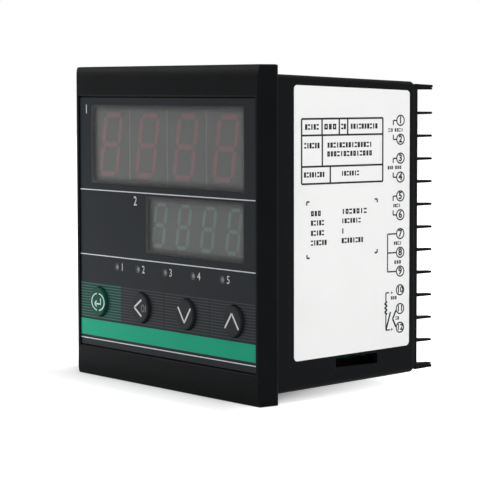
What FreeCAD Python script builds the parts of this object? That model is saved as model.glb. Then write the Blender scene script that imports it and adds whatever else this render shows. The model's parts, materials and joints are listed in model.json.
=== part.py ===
import FreeCAD, Part
import math
import os

# Panel instrument with two digit displays, four keys and a rear terminal block.
# Millimetres. X to the right, Y towards the rear, Z up.
# The origin is the centre of the panel cut-out, in the plane of the bezel's rear face.

V = FreeCAD.Vector

# Front frame
FRONT = 96.0
BEZEL_DEPTH = 7.3
CORNER_ROUND = 0.8
FRONT_ROUND = 0.5
REAR_ROUND = 1.1
ROLL_HEIGHT = 3.8
ROLL_DROP = 0.45
POCKET = 91.6
FRONT_WALL_BACK = -4.65

# Printed film, set back in the frame
FILM_WIDTH = 92.8
FILM_HEIGHT = 77.0
FILM_FACE = -6.9
FILM_THICK = 0.25
FILM_GAP = 0.1
LIP_ROUND = 0.6
GROOVE_WIDTH = 0.3
GROOVE_DEPTH = 0.35

# Displays: large upper row of single digits, small lower four-digit module
PV_PITCH = 20.15
PV_MODULE = (20.05, 26.4)
PV_CENTRE = (0.3, 24.2)
PV_WINDOW = (80.6, 24.1)
PV_DIGIT_HEIGHT = 20.1
PV_DIGIT_WIDTH = 11.1
PV_STROKE = 2.3
SV_PITCH = 12.6
SV_MODULE = (49.9, 18.8)
SV_CENTRE = (15.4, 0.6)
SV_WINDOW = (49.9, 17.2)
SV_DIGIT_HEIGHT = 14.0
SV_DIGIT_WIDTH = 7.1
SV_STROKE = 1.7
DIGIT_SLANT = math.radians(10.0)
SEGMENT_GAP = 0.35
SEGMENT_DEPTH = 1.2
MODULE_FACE = -5.65
WINDOW_FACE = -6.85
WINDOW_STEP = -5.75
WINDOW_GAP = 0.05

# Indicator lamps
LAMP_X = (-25.5, -13.85, 0.75, 15.3, 29.9)
LAMP_NAMES = ("at", "out1", "out2", "alm1", "alm2")
LAMP_Z = -13.2
LAMP_HOLE = 2.0
LAMP_BODY = 2.9
LAMP_BORE = 3.2

# Keys and the switches behind them
KEY_NAMES = ("set", "shift", "down", "up")
KEY_PITCH = 23.7
KEY_ROW_X = 0.3
KEY_Z = -24.65
KEY_DIAMETER = 8.9
KEY_CLEARANCE = 0.2
KEY_PROUD = 1.0
KEY_EDGE = 0.3
KEY_FLANGE = 11.2
KEY_FLANGE_THICK = 0.9
KEY_STEM = 4.0
FILM_KEY_HOLE = 9.5
SWITCH_SIZE = 6.0
SWITCH_HEIGHT = 3.4
PLUNGER_DIAMETER = 3.5
PLUNGER_COLLAR = 4.4

# Boards
BOARD_THICK = 1.6
CAN_EDGE = 0.5
DISPLAY_BOARD = 85.4
DISPLAY_BOARD_FRONT = 2.5
SIDE_BOARD_X = 29.4
SIDE_BOARD_HALF = 40.4
SIDE_BOARD_FRONT = 8.0
SIDE_BOARD_BACK = 48.8
TONGUE_Z = (-20.0, 20.0)
TONGUE_WIDTH = 12.0
POST_PLACES = ((-30.0, 40.2), (30.0, 40.2), (-30.0, -40.2), (30.0, -40.2))
POST_DIAMETER = 4.6
SCREW_HOLE = 2.1

# Case: a square tube with draft
CASE_FRONT = 90.8
CASE_REAR = 86.4
CASE_LENGTH = 53.8
CASE_WALL = 2.0
CASE_EDGE = 1.8
CASE_REAR_ROUND = 0.6
TONGUE_OUTER = 90.2
TONGUE_FRONT = FRONT_WALL_BACK
HOOK_X = (-14.0, 14.0)
HOOK_WIDTH = 8.0
HOOK_Z = (41.5, 42.9)
HOOK_WINDOW = (6.6, 9.9)
SLOT_Y = (23.0, 39.1)
SLOT_Z = (36.2, 39.3)
VENT_COUNT = 9
VENT_PITCH = 6.0
VENT_WIDTH = 2.0
VENT_Y = (20.0, 38.0)

# Rear terminal base
BASE_PLUG = 82.0
BASE_FLANGE = 85.0
BASE_FRONT = 49.3
BASE_BACK = 55.4
FIN_TIP = 61.1
FIN_PITCH = 6.78
FIN_COUNT = 13
FIN_ROOT = 0.86
FIN_END = 0.68
OUTER_FIN = 1.7
END_NOTCH = 41.35
TOOTH_DEPTH = 1.5
TOOTH_SLOPE = 1.3
FIN_LOW = 57.9
COLUMN_INNER = 29.6
WELL_INNER = 31.0
WELL_OUTER = 41.2
WELL_FLOOR = 51.9
WELL_HEIGHT = 6.0
WELL_SLOT = 3.4
SCREW_X = 36.4
SCREW_DIAMETER = 3.0
SCREW_HEAD = 5.3
SCREW_HEAD_HEIGHT = 1.9
SCREW_REACH = 4.0
SCREW_DOME = 0.75
CONTACT_THICK = 0.8
CLAMP_THICK = 0.8

# Side label
LABEL_Y = (7.25, 51.55)
LABEL_TOP = 0.937
LABEL_BOTTOM = -0.8055
LABEL_CORNER = 1.2
LABEL_THICK = 0.12

parts = {}


def box(x, y, z):
    """Block between the low and high values given for each axis."""
    return Part.makeBox(x[1] - x[0], y[1] - y[0], z[1] - z[0], V(x[0], y[0], z[0]))


def centred(size_x, y, size_z, cx=0.0, cz=0.0):
    """Block centred in the front view, between two depths."""
    return box((cx - size_x / 2, cx + size_x / 2), y, (cz - size_z / 2, cz + size_z / 2))


def rounded_wire(half_x, half_z, radius, y, cx=0.0, cz=0.0):
    """Closed rectangle with round corners, in the plane at depth y."""
    edges = []
    corners = ((1, 1, 0), (-1, 1, 90), (-1, -1, 180), (1, -1, 270))
    last = None
    first = None
    for sx, sz, start in corners:
        middle_x = cx + sx * (half_x - radius)
        middle_z = cz + sz * (half_z - radius)
        points = []
        for step in (0, 45, 90):
            turn = math.radians(start + step)
            points.append(V(middle_x + radius * math.cos(turn), y, middle_z + radius * math.sin(turn)))
        if last is not None:
            edges.append(Part.makeLine(last, points[0]))
        else:
            first = points[0]
        edges.append(Part.Arc(*points).toShape())
        last = points[2]
    edges.append(Part.makeLine(last, first))
    return Part.Wire(edges)


def rounded_block(size_x, size_z, radius, y, cx=0.0, cz=0.0):
    """Rounded rectangle of the front view, extruded between two depths."""
    wire = rounded_wire(size_x / 2, size_z / 2, radius, y[0], cx, cz)
    return Part.Face(wire).extrude(V(0, y[1] - y[0], 0))


def rod(diameter, y, cx=0.0, cz=0.0):
    """Round bar along Y."""
    return Part.makeCylinder(diameter / 2, y[1] - y[0], V(cx, y[0], cz), V(0, 1, 0))


def turned(profile, cx, cz):
    """Solid turned about an axis along Y; the profile holds (radius, depth) points."""
    wire = Part.makePolygon([V(r, y, 0) for r, y in profile + [profile[0]]])
    solid = Part.Face(wire).revolve(V(0, 0, 0), V(0, 1, 0), 360)
    solid.translate(V(cx, 0, cz))
    return solid


def flat_face(points):
    """Flat face inside a closed polygon of points."""
    return Part.Face(Part.makePolygon(points + [points[0]]))


def ring_points(radius, y, cx, cz, sides):
    """Corners of a regular polygon in the plane at depth y, with a flat at the top."""
    turns = [math.tau * (i + 0.5) / sides for i in range(sides)]
    return [V(cx + radius * math.sin(turn), y, cz + radius * math.cos(turn)) for turn in turns]


def faceted(profile, cx, cz, sides=12):
    """Small turned piece with a few flat sides; the profile holds (radius, depth) points."""
    rings = [ring_points(radius, y, cx, cz, sides) for radius, y in profile]
    faces = [flat_face(rings[0]), flat_face(rings[-1])]
    for near, far in zip(rings, rings[1:]):
        for i in range(sides):
            after = (i + 1) % sides
            faces.append(flat_face([near[i], near[after], far[after], far[i]]))
    solid = Part.makeSolid(Part.makeShell(faces))
    return solid.removeSplitter() if solid.Volume > 0 else solid.reversed().removeSplitter()


def faceted_rod(diameter, y, cx, cz, sides=8):
    """Bar with a few flat sides along Y."""
    return faceted([(diameter / 2, y[0]), (diameter / 2, y[1])], cx, cz, sides)


def prism(points, direction):
    """Polygon of points extruded along a vector."""
    return flat_face(points).extrude(direction)


def joined(shapes):
    """One solid from overlapping or touching shapes."""
    return shapes[0].multiFuse(shapes[1:]).removeSplitter()


def case_half(y):
    """Half of the case's outer width at a depth, on the drafted sides."""
    return (CASE_FRONT + (CASE_REAR - CASE_FRONT) * y / CASE_LENGTH) / 2


# Front frame

def side_section():
    """Side view of the frame: the face rolls back towards its top and bottom edges."""
    half = FRONT / 2
    start = half - ROLL_HEIGHT
    edge_y = -BEZEL_DEPTH + ROLL_DROP
    edge_z = half - FRONT_ROUND
    rise = edge_z - start
    roll = (ROLL_DROP ** 2 + rise ** 2) / (2 * ROLL_DROP)
    roll_turn = math.asin(rise / roll) / 2
    roll_mid = (-BEZEL_DEPTH + roll * (1 - math.cos(roll_turn)), start + roll * math.sin(roll_turn))
    slope = math.cos(math.radians(45))
    upper = (
        ("arc", (0, half - REAR_ROUND), (-REAR_ROUND * (1 - slope), half - REAR_ROUND * (1 - slope)),
         (-REAR_ROUND, half)),
        ("line", (-REAR_ROUND, half), (edge_y + FRONT_ROUND, half)),
        ("arc", (edge_y + FRONT_ROUND, half),
         (edge_y + FRONT_ROUND * (1 - slope), half - FRONT_ROUND * (1 - slope)), (edge_y, edge_z)),
        ("arc", (edge_y, edge_z), roll_mid, (-BEZEL_DEPTH, start)),
    )
    edges = []
    for sign in (1, -1):
        for kind, *points in upper:
            ends = [V(0, y, sign * z) for y, z in points]
            if kind == "arc":
                edges.append(Part.Arc(*ends).toShape())
            else:
                edges.append(Part.makeLine(*ends))
    edges.append(Part.makeLine(V(0, -BEZEL_DEPTH, start), V(0, -BEZEL_DEPTH, -start)))
    edges.append(Part.makeLine(V(0, 0, half - REAR_ROUND), V(0, 0, -half + REAR_ROUND)))
    return Part.Face(Part.Wire(Part.__sortEdges__(edges)))


def plan_section():
    """Top view of the frame, with its front and rear edges rounded."""
    half = FRONT / 2
    edges = []
    slope = math.cos(math.radians(45))
    for sign in (1, -1):
        rear = [(half - REAR_ROUND, 0), (half - REAR_ROUND * (1 - slope), -REAR_ROUND * (1 - slope)),
                (half, -REAR_ROUND)]
        front_y = -BEZEL_DEPTH
        front = [(half, front_y + FRONT_ROUND),
                 (half - FRONT_ROUND * (1 - slope), front_y + FRONT_ROUND * (1 - slope)),
                 (half - FRONT_ROUND, front_y)]
        for arc in (rear, front):
            edges.append(Part.Arc(*[V(sign * x, y, 0) for x, y in arc]).toShape())
        edges.append(Part.makeLine(V(sign * half, -REAR_ROUND, 0), V(sign * half, front_y + FRONT_ROUND, 0)))
    for y, round_off in ((0, REAR_ROUND), (-BEZEL_DEPTH, FRONT_ROUND)):
        edges.append(Part.makeLine(V(-half + round_off, y, 0), V(half - round_off, y, 0)))
    return Part.Face(Part.Wire(Part.__sortEdges__(edges)))


def film_recess():
    """Cutter for the film's recess: rounded lips and a fine groove above and below the film."""
    half = FILM_HEIGHT / 2
    lip = half + GROOVE_WIDTH
    floor = FILM_FACE + FILM_THICK
    far = -BEZEL_DEPTH - 2
    slope = math.cos(math.radians(45))
    edges = []
    for sign in (1, -1):
        top = [V(0, far, sign * (lip + LIP_ROUND)), V(0, -BEZEL_DEPTH, sign * (lip + LIP_ROUND))]
        middle = V(0, -BEZEL_DEPTH + LIP_ROUND * (1 - slope), sign * (lip + LIP_ROUND * (1 - slope)))
        end = V(0, -BEZEL_DEPTH + LIP_ROUND, sign * lip)
        edges.append(Part.makeLine(*top))
        edges.append(Part.Arc(top[1], middle, end).toShape())
        path = [end, V(0, floor + GROOVE_DEPTH, sign * lip), V(0, floor + GROOVE_DEPTH, sign * half),
                V(0, floor, sign * half)]
        for a, b in zip(path, path[1:]):
            edges.append(Part.makeLine(a, b))
    edges.append(Part.makeLine(V(0, far, lip + LIP_ROUND), V(0, far, -lip - LIP_ROUND)))
    edges.append(Part.makeLine(V(0, floor, half), V(0, floor, -half)))
    face = Part.Face(Part.Wire(Part.__sortEdges__(edges)))
    width = FILM_WIDTH + 2 * FILM_GAP
    face.translate(V(-width / 2, 0, 0))
    return face.extrude(V(width, 0, 0))


def display_openings():
    """Window openings, each with a wider step behind it for the digit modules."""
    cuts = []
    module_row = (4 * PV_PITCH + 0.2, PV_MODULE[1] + 0.2)
    sv_row = (SV_MODULE[0] + 0.3, SV_MODULE[1] + 0.2)
    for window, module, centre in ((PV_WINDOW, module_row, PV_CENTRE), (SV_WINDOW, sv_row, SV_CENTRE)):
        cuts.append(centred(window[0] + 0.2, (-8, -4), window[1] + 0.2, *centre))
        cuts.append(centred(module[0], (WINDOW_STEP, -4), module[1], *centre))
    return cuts


def snap_hook(x, sign):
    """Arm along the case wall with a wedge that latches in the case's window."""
    low, high = HOOK_Z
    root = FRONT_WALL_BACK - 0.5
    tip = HOOK_WINDOW[1] - 0.2
    face = HOOK_WINDOW[0]
    side = [(root, low), (tip, low), (tip, high), (face, high + 1.3), (face, high), (root, high)]
    points = [V(x - HOOK_WIDTH / 2, y, sign * z) for y, z in side]
    return prism(points, V(HOOK_WIDTH, 0, 0))


def key_places():
    """Name and X place of each key."""
    return [(name, KEY_ROW_X + (i - 1.5) * KEY_PITCH) for i, name in enumerate(KEY_NAMES)]


def make_front_bezel():
    half = FRONT / 2
    side = side_section()
    side.translate(V(-half - 1, 0, 0))
    plan = plan_section()
    plan.translate(V(0, 0, -half - 1))
    body = side.extrude(V(FRONT + 2, 0, 0))
    body = body.common(plan.extrude(V(0, 0, FRONT + 2)))
    body = body.common(rounded_block(FRONT, FRONT, CORNER_ROUND, (-9, 1)))
    body = body.cut(film_recess())
    body = body.cut(rounded_block(POCKET, POCKET, CASE_EDGE, (FRONT_WALL_BACK, 1)))
    cuts = display_openings()
    for name, x in key_places():
        cuts.append(rod(KEY_DIAMETER + 2 * KEY_CLEARANCE, (-8, -4), x, KEY_Z))
    for x in LAMP_X:
        cuts.append(faceted_rod(LAMP_BORE, (-8, -4), x, LAMP_Z, 12))
    body = body.cut(Part.makeCompound(cuts))
    post = (FRONT_WALL_BACK - 0.4, DISPLAY_BOARD_FRONT)
    adds = [faceted_rod(POST_DIAMETER, post, x, z) for x, z in POST_PLACES]
    for x in HOOK_X:
        adds.append(snap_hook(x, 1))
        adds.append(snap_hook(x, -1))
    body = joined([body] + adds)
    pilots = [faceted_rod(SCREW_HOLE, (-3.4, DISPLAY_BOARD_FRONT + 1), x, z) for x, z in POST_PLACES]
    return body.cut(Part.makeCompound(pilots))


def make_overlay_film():
    y = (FILM_FACE, FILM_FACE + FILM_THICK)
    film = rounded_block(FILM_WIDTH, FILM_HEIGHT, 0.6, y)
    deep = (y[0] - 1, y[1] + 1)
    cuts = []
    for window, centre in ((PV_WINDOW, PV_CENTRE), (SV_WINDOW, SV_CENTRE)):
        cuts.append(centred(window[0] + 0.1, deep, window[1] + 0.1, *centre))
    for name, x in key_places():
        cuts.append(faceted_rod(FILM_KEY_HOLE, deep, x, KEY_Z, 28))
    for x in LAMP_X:
        cuts.append(faceted_rod(LAMP_HOLE, deep, x, LAMP_Z, 12))
    return film.cut(Part.makeCompound(cuts))


def make_window(size, centre):
    """Clear plate that fills its opening, almost flush with the film, just clear of the digit modules."""
    return centred(size[0], (WINDOW_FACE, MODULE_FACE - WINDOW_GAP), size[1], *centre)


# Seven-segment digits

def bar_outline(length, stroke):
    """Horizontal segment with pointed ends, centred on the origin: (x, z) points."""
    half = length / 2
    shoulder = half - stroke / 2
    return [(-half, 0), (-shoulder, stroke / 2), (shoulder, stroke / 2), (half, 0), (shoulder, -stroke / 2),
            (-shoulder, -stroke / 2)]


def digit_outlines(width, height, stroke):
    """The seven bars of an upright digit as (x, z) outlines, centred on the origin."""
    across = width - stroke
    up = height - stroke
    flat = bar_outline(across - 2 * SEGMENT_GAP, stroke)
    tall = [(z, x) for x, z in bar_outline(up / 2 - 2 * SEGMENT_GAP, stroke)]
    bars = []
    for z in (up / 2, 0, -up / 2):
        bars.append([(x, z + dz) for x, dz in flat])
    for x in (-across / 2, across / 2):
        for z in (up / 4, -up / 4):
            bars.append([(x + dx, z + dz) for dx, dz in tall])
    return bars


def digit_solids(cx, cz, width, height, stroke, y):
    """Slanted bars and decimal point of one digit, between two depths."""
    solids = []
    for outline in digit_outlines(width, height, stroke):
        points = [V(cx + x + z * math.tan(DIGIT_SLANT), y[0], cz + z) for x, z in outline]
        solids.append(prism(points, V(0, y[1] - y[0], 0)))
    point_x = cx + width / 2 + stroke * 0.45 - height / 2 * math.tan(DIGIT_SLANT)
    solids.append(faceted_rod(stroke * 0.95, y, point_x, cz - height / 2 + stroke * 0.45))
    return solids


def digit_module(size, centre, digit_centres, width, height, stroke):
    """Housing with segment pockets, and the translucent segments that fill them."""
    y = (MODULE_FACE, MODULE_FACE + SEGMENT_DEPTH)
    segments = []
    for x in digit_centres:
        segments += digit_solids(x, centre[1], width, height, stroke, y)
    housing = centred(size[0], (MODULE_FACE, DISPLAY_BOARD_FRONT), size[1], *centre)
    group = Part.makeCompound(segments)
    return housing.cut(group), group


def make_displays():
    for i in range(4):
        x = PV_CENTRE[0] + (i - 1.5) * PV_PITCH
        centre = (x, PV_CENTRE[1])
        housing, segments = digit_module(
            PV_MODULE, centre, [x - 0.6], PV_DIGIT_WIDTH, PV_DIGIT_HEIGHT, PV_STROKE)
        parts[f"pv_digit_{i + 1}"] = housing
        parts[f"pv_segments_{i + 1}"] = segments
    centres = [SV_CENTRE[0] + (i - 1.5) * SV_PITCH - 0.4 for i in range(4)]
    housing, segments = digit_module(
        SV_MODULE, SV_CENTRE, centres, SV_DIGIT_WIDTH, SV_DIGIT_HEIGHT, SV_STROKE)
    parts["sv_display"] = housing
    parts["sv_segments"] = segments


def make_lamp(x):
    """Round lamp: domed lens, flange and two legs down to the board."""
    radius = LAMP_BODY / 2
    tip = FILM_FACE + 0.1
    neck = LAMP_HOLE / 2 - 0.1
    lens = faceted([(neck * 0.7, tip), (neck, tip + 0.25), (neck, -6.45), (radius, -6.2), (radius, -2.4),
                    (radius + 0.4, -2.4), (radius + 0.4, -1.4)], x, LAMP_Z)
    legs = [centred(0.5, (-1.6, DISPLAY_BOARD_FRONT), 0.5, x + dx, LAMP_Z) for dx in (-1.27, 1.27)]
    return joined([lens] + legs)


# Keys

def make_key(x):
    """Round cap with a softened edge, a retaining flange and a stem."""
    radius = KEY_DIAMETER / 2
    face = FILM_FACE - KEY_PROUD
    flange = FRONT_WALL_BACK + 0.1
    back = flange + KEY_FLANGE_THICK
    cap = turned([(0, face), (radius - KEY_EDGE, face), (radius, face + KEY_EDGE), (radius, flange),
                  (0, flange)], x, KEY_Z)
    foot = faceted([(KEY_FLANGE / 2, flange), (KEY_FLANGE / 2, back), (KEY_STEM / 2, back),
                    (KEY_STEM / 2, PLUNGER_TIP)], x, KEY_Z)
    return joined([cap, foot])


SWITCH_TOP = DISPLAY_BOARD_FRONT - SWITCH_HEIGHT
SWITCH_ROOF = 0.6
PLUNGER_TIP = SWITCH_TOP - 1.5
CAVITY_FLOOR = SWITCH_TOP + 2.4


def make_switch_body(x):
    """Square switch housing with a hollow for the plunger and the snap dome."""
    body = centred(SWITCH_SIZE, (SWITCH_TOP, DISPLAY_BOARD_FRONT), SWITCH_SIZE, x, KEY_Z)
    hollow_size = PLUNGER_COLLAR + 0.6
    hollow = centred(hollow_size, (SWITCH_TOP + SWITCH_ROOF, CAVITY_FLOOR), hollow_size, x, KEY_Z)
    hole = faceted_rod(PLUNGER_DIAMETER + 0.5, (SWITCH_TOP - 1, SWITCH_TOP + 1), x, KEY_Z, 12)
    return body.cut(Part.makeCompound([hollow, hole]))


def make_plunger(x):
    """Plunger with the collar that holds it in the switch."""
    stem = PLUNGER_DIAMETER / 2
    collar = PLUNGER_COLLAR / 2
    seat = SWITCH_TOP + SWITCH_ROOF + 0.1
    return faceted([(stem - 0.2, PLUNGER_TIP), (stem, PLUNGER_TIP + 0.2), (stem, seat), (collar, seat),
                    (collar, seat + 0.6)], x, KEY_Z, 8)


def make_snap_dome(x):
    """Thin sprung dome on the floor of the switch."""
    base = PLUNGER_COLLAR / 2
    low = CAVITY_FLOOR
    outer = faceted([(base * 0.4, low - 0.5), (base, low)], x, KEY_Z, 8)
    return outer.cut(faceted([(base * 0.36, low - 0.4), (base * 0.96, low + 0.05)], x, KEY_Z, 8))


def make_keys():
    domes = []
    for name, x in key_places():
        parts[f"{name}_key"] = make_key(x)
        parts[f"{name}_switch_plunger"] = make_plunger(x)
        parts[f"{name}_switch_body"] = make_switch_body(x)
        domes.append(make_snap_dome(x))
    parts["switch_domes"] = Part.makeCompound(domes)


# Boards and what they carry

def make_display_board():
    y = (DISPLAY_BOARD_FRONT, DISPLAY_BOARD_FRONT + BOARD_THICK)
    deep = (y[0] - 1, y[1] + 1)
    board = rounded_block(DISPLAY_BOARD, DISPLAY_BOARD, 1.5, y)
    edge = DISPLAY_BOARD / 2
    cuts = [faceted_rod(SCREW_HOLE + 0.3, deep, x, z) for x, z in POST_PLACES]
    for x in HOOK_X:
        for sign in (1, -1):
            cuts.append(centred(HOOK_WIDTH + 1.2, deep, 4.0, x, sign * (edge + 0.4)))
    for sign in (1, -1):
        for z in TONGUE_Z:
            middle = sign * (SIDE_BOARD_X + BOARD_THICK / 2)
            cuts.append(centred(BOARD_THICK + 0.2, deep, TONGUE_WIDTH + 0.2, middle, z))
    return board.cut(Part.makeCompound(cuts))


def make_side_board(sign):
    """Upright board along the side, with two tongues that reach into the display board."""
    x = sorted((sign * SIDE_BOARD_X, sign * (SIDE_BOARD_X + BOARD_THICK)))
    board = box(x, (SIDE_BOARD_FRONT, SIDE_BOARD_BACK), (-SIDE_BOARD_HALF, SIDE_BOARD_HALF))
    tongues = []
    for z in TONGUE_Z:
        tongues.append(box(x, (DISPLAY_BOARD_FRONT + 0.1, SIDE_BOARD_FRONT + 1),
                           (z - TONGUE_WIDTH / 2, z + TONGUE_WIDTH / 2)))
    return joined([board] + tongues)


def make_board_screws():
    screws = []
    back = DISPLAY_BOARD_FRONT + BOARD_THICK
    for x, z in POST_PLACES:
        radius = SCREW_HOLE / 2 - 0.03
        screws.append(faceted([(radius, back - 5.5), (radius, back), (1.8, back), (1.8, back + 0.9),
                               (1.2, back + 1.4)], x, z, 8))
    return Part.makeCompound(screws)


def make_relay(z):
    """Sealed relay on the main board, with softened top edges."""
    inner = SIDE_BOARD_X
    top = inner - 15.0
    outline = [(inner, 7.7), (top + 0.8, 7.4), (top, 6.6), (top, -6.6), (top + 0.8, -7.4), (inner, -7.7)]
    points = [V(x, 18.0, z + dz) for x, dz in outline]
    return prism(points, V(0, 19.0, 0))


def make_capacitor(diameter, height, y, z):
    """Can capacitor standing on the power board, its top edge turned in."""
    radius = diameter / 2
    solid = faceted([(radius, 0), (radius, height - CAN_EDGE), (radius - CAN_EDGE, height)], 0, 0, 16)
    solid.rotate(V(0, 0, 0), V(0, 0, 1), -90)
    solid.translate(V(-SIDE_BOARD_X, y, z))
    return solid


TRANSFORMER = dict(x=-16.6, y=33.0, z=17.0, stack=14.0, length=27.0, height=32.0, limb=10.6, window=15.0,
                   yoke=6.0)


def make_transformer():
    """Stamped core with two windows, bobbin round its middle limb, and the winding on the bobbin."""
    t = TRANSFORMER
    at = V(t["x"], t["y"], t["z"])
    half_stack = t["stack"] / 2
    half_window = t["window"] / 2
    window_height = (t["height"] - t["limb"]) / 2 - t["limb"] / 2
    core = box((-half_stack, half_stack), (-t["length"] / 2, t["length"] / 2), (-t["height"] / 2, t["height"] / 2))
    for sign in (1, -1):
        low = t["limb"] / 2
        z = sorted((sign * low, sign * (low + window_height)))
        core = core.cut(box((-half_stack - 1, half_stack + 1), (-half_window, half_window), z))
    play = 0.1
    wall = 0.8
    inner = (half_stack + play, t["limb"] / 2 + play)
    outer = (inner[0] + 4.6, inner[1] + window_height - 0.4)
    ring = box((-outer[0], outer[0]), (-half_window + 0.1, half_window - 0.1), (-outer[1], outer[1]))
    wound = box((-outer[0] + 0.3, outer[0] - 0.3), (-half_window + 1.2, half_window - 1.2),
                (-outer[1] + 0.3, outer[1] - 0.3))
    hole = box((-inner[0], inner[0]), (-20, 20), (-t["limb"] / 2, t["limb"] / 2))
    sleeve = box((-inner[0] - wall, inner[0] + wall), (-20, 20), (-inner[1] - wall, inner[1] + wall))
    middle = box((-20, 20), (-half_window + 1.1, half_window - 1.1), (-20, 20))
    bobbin = ring.cut(hole).cut(middle.cut(sleeve))
    foot_depth = abs(-SIDE_BOARD_X - t["x"])
    feet = []
    for sign in (1, -1):
        y = sorted((sign * (half_window - 0.1), sign * (half_window - 1.1)))
        feet.append(box((-foot_depth, -outer[0] + 0.5), y, (-outer[1], outer[1])))
    bobbin = joined([bobbin] + feet)
    winding = wound.cut(sleeve)
    for name, shape in (("core", core), ("bobbin", bobbin), ("winding", winding)):
        shape.translate(at)
        parts[f"transformer_{name}"] = shape


def make_heat_sink():
    """Channel of sheet aluminium that the regulator is fixed to."""
    foot = -SIDE_BOARD_X
    height = 16.0
    outline = [(0, 0), (14.0, 0), (14.0, 9.0), (12.8, 9.0), (12.8, 1.2), (1.2, 1.2), (1.2, 9.0), (0, 9.0)]
    points = [V(foot, 14.0 + y, -38.0 + z) for y, z in outline]
    return prism(points, V(height, 0, 0))


def make_regulator():
    """Three-legged regulator, its tab flat against the heat sink."""
    foot = -SIDE_BOARD_X
    z = -38.0 + 1.2
    tab = box((foot + 3.0, foot + 15.5), (16.0, 26.0), (z, z + 1.2))
    body = box((foot + 3.0, foot + 11.5), (16.0, 26.0), (z + 1.2, z + 4.4))
    legs = [box((foot, foot + 3.5), (y, y + 0.8), (z + 1.6, z + 2.2)) for y in (17.6, 20.6, 23.6)]
    return joined([tab, body] + legs)


def make_board_parts():
    for name, z in (("out1", 27.0), ("alm1", 9.5), ("alm2", -8.0)):
        parts[f"relay_{name}"] = make_relay(z)
    parts["filter_capacitor"] = make_capacitor(12.5, 20.0, 22.0, -12.0)
    parts["logic_capacitor"] = make_capacitor(8.0, 12.0, 35.0, -12.0)
    parts["heat_sink"] = make_heat_sink()
    parts["regulator"] = make_regulator()
    foot = -SIDE_BOARD_X
    parts["rectifier"] = box((foot, foot + 3.2), (36.0, 44.0), (-31.0, -24.5))
    chip_back = DISPLAY_BOARD_FRONT + BOARD_THICK
    parts["microcontroller"] = centred(12.0, (chip_back, chip_back + 1.5), 12.0, 0.0, -6.0)
    parts["crystal"] = rounded_block(11.0, 4.6, 2.2, (chip_back, chip_back + 3.4), 0.0, -18.0)
    parts["input_amplifier"] = box((SIDE_BOARD_X - 1.6, SIDE_BOARD_X), (40.0, 45.0), (-30.0, -22.0))


# Case

def tapered_tube(inset, radius, y):
    """Drafted square block, set in from the outer form, between two depths."""
    wires = [rounded_wire(case_half(d) - inset, case_half(d) - inset, radius, d) for d in y]
    return Part.makeLoft(wires, True, True)


def case_outside():
    """Outer form: drafted sides, then the rear edge rounded off."""
    start = CASE_LENGTH - CASE_REAR_ROUND
    forms = [tapered_tube(0, CASE_EDGE, (0, start))]
    steps = 2
    last = (0.0, start)
    for i in range(1, steps + 1):
        turn = math.radians(90 * i / steps)
        inset = CASE_REAR_ROUND * (1 - math.cos(turn))
        y = start + CASE_REAR_ROUND * math.sin(turn)
        halves = (case_half(start) - last[0], case_half(start) - inset)
        wires = [rounded_wire(h, h, CASE_EDGE, d) for h, d in zip(halves, (last[1], y))]
        forms.append(Part.makeLoft(wires, True, True))
        last = (inset, y)
    forms.append(rounded_block(TONGUE_OUTER, TONGUE_OUTER, CASE_EDGE, (TONGUE_FRONT, 0.5)))
    return joined(forms)


def guide_ribs():
    """Pairs of ribs above and below that hold the upright boards."""
    ribs = []
    for side in (1, -1):
        for x in (SIDE_BOARD_X - 1.3, SIDE_BOARD_X + BOARD_THICK + 0.1):
            span = sorted((side * x, side * (x + 1.2)))
            for up in (1, -1):
                ribs.append(box(span, (10.0, 43.5), sorted((up * 38.9, up * 44.2))))
    return ribs


def make_case():
    body = case_outside()
    hollow = tapered_tube(CASE_WALL, 0.8, (TONGUE_FRONT - 1, CASE_LENGTH + 1))
    ribs = [rib.common(tapered_tube(0.5, CASE_EDGE, (0, CASE_LENGTH - 2))) for rib in guide_ribs()]
    body = joined([body.cut(hollow)] + ribs)
    cuts = []
    for x in HOOK_X:
        for sign in (1, -1):
            cuts.append(box((x - HOOK_WIDTH / 2 - 0.4, x + HOOK_WIDTH / 2 + 0.4), HOOK_WINDOW,
                            sorted((sign * 41.0, sign * 47.0))))
            cuts.append(box((x - 3.4, x + 3.4), (50.6, 52.8), sorted((sign * 40.5, sign * 47.0))))
    low, high = SLOT_Z
    cuts.append(box((40.0, 47.0), SLOT_Y, (-high, -low)))
    cuts.append(box((-47.0, -40.0), SLOT_Y, (low, high)))
    for i in range(VENT_COUNT):
        x = (i - (VENT_COUNT - 1) / 2) * VENT_PITCH
        for sign in (1, -1):
            cuts.append(box((x - VENT_WIDTH / 2, x + VENT_WIDTH / 2), VENT_Y, sorted((sign * 41.0, sign * 47.0))))
    return body.cut(Part.makeCompound(cuts))


def make_side_label():
    """Label on the drafted right side; its edges run with the case's edges."""
    slope = (CASE_REAR - CASE_FRONT) / 2 / CASE_LENGTH
    y0, y1 = LABEL_Y
    corners = [(y0, LABEL_TOP * case_half(y0)), (y1, LABEL_TOP * case_half(y1)),
               (y1, LABEL_BOTTOM * case_half(y1)), (y0, LABEL_BOTTOM * case_half(y0))]
    edges = []
    points = [V(case_half(y), y, z) for y, z in corners]
    starts = []
    for i in range(4):
        before, corner, after = points[i - 1], points[i], points[(i + 1) % 4]
        to_before = (before - corner).normalize()
        to_after = (after - corner).normalize()
        a = corner + to_before * LABEL_CORNER
        b = corner + to_after * LABEL_CORNER
        middle = corner + (to_before + to_after) * (LABEL_CORNER * (1 - math.sqrt(0.5)))
        edges.append(Part.Arc(a, middle, b).toShape())
        starts.append((a, b))
    for i in range(4):
        edges.append(Part.makeLine(starts[i][1], starts[(i + 1) % 4][0]))
    face = Part.Face(Part.Wire(Part.__sortEdges__(edges)))
    return face.extrude(V(LABEL_THICK, -slope * LABEL_THICK, 0))


# Rear terminal base

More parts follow.
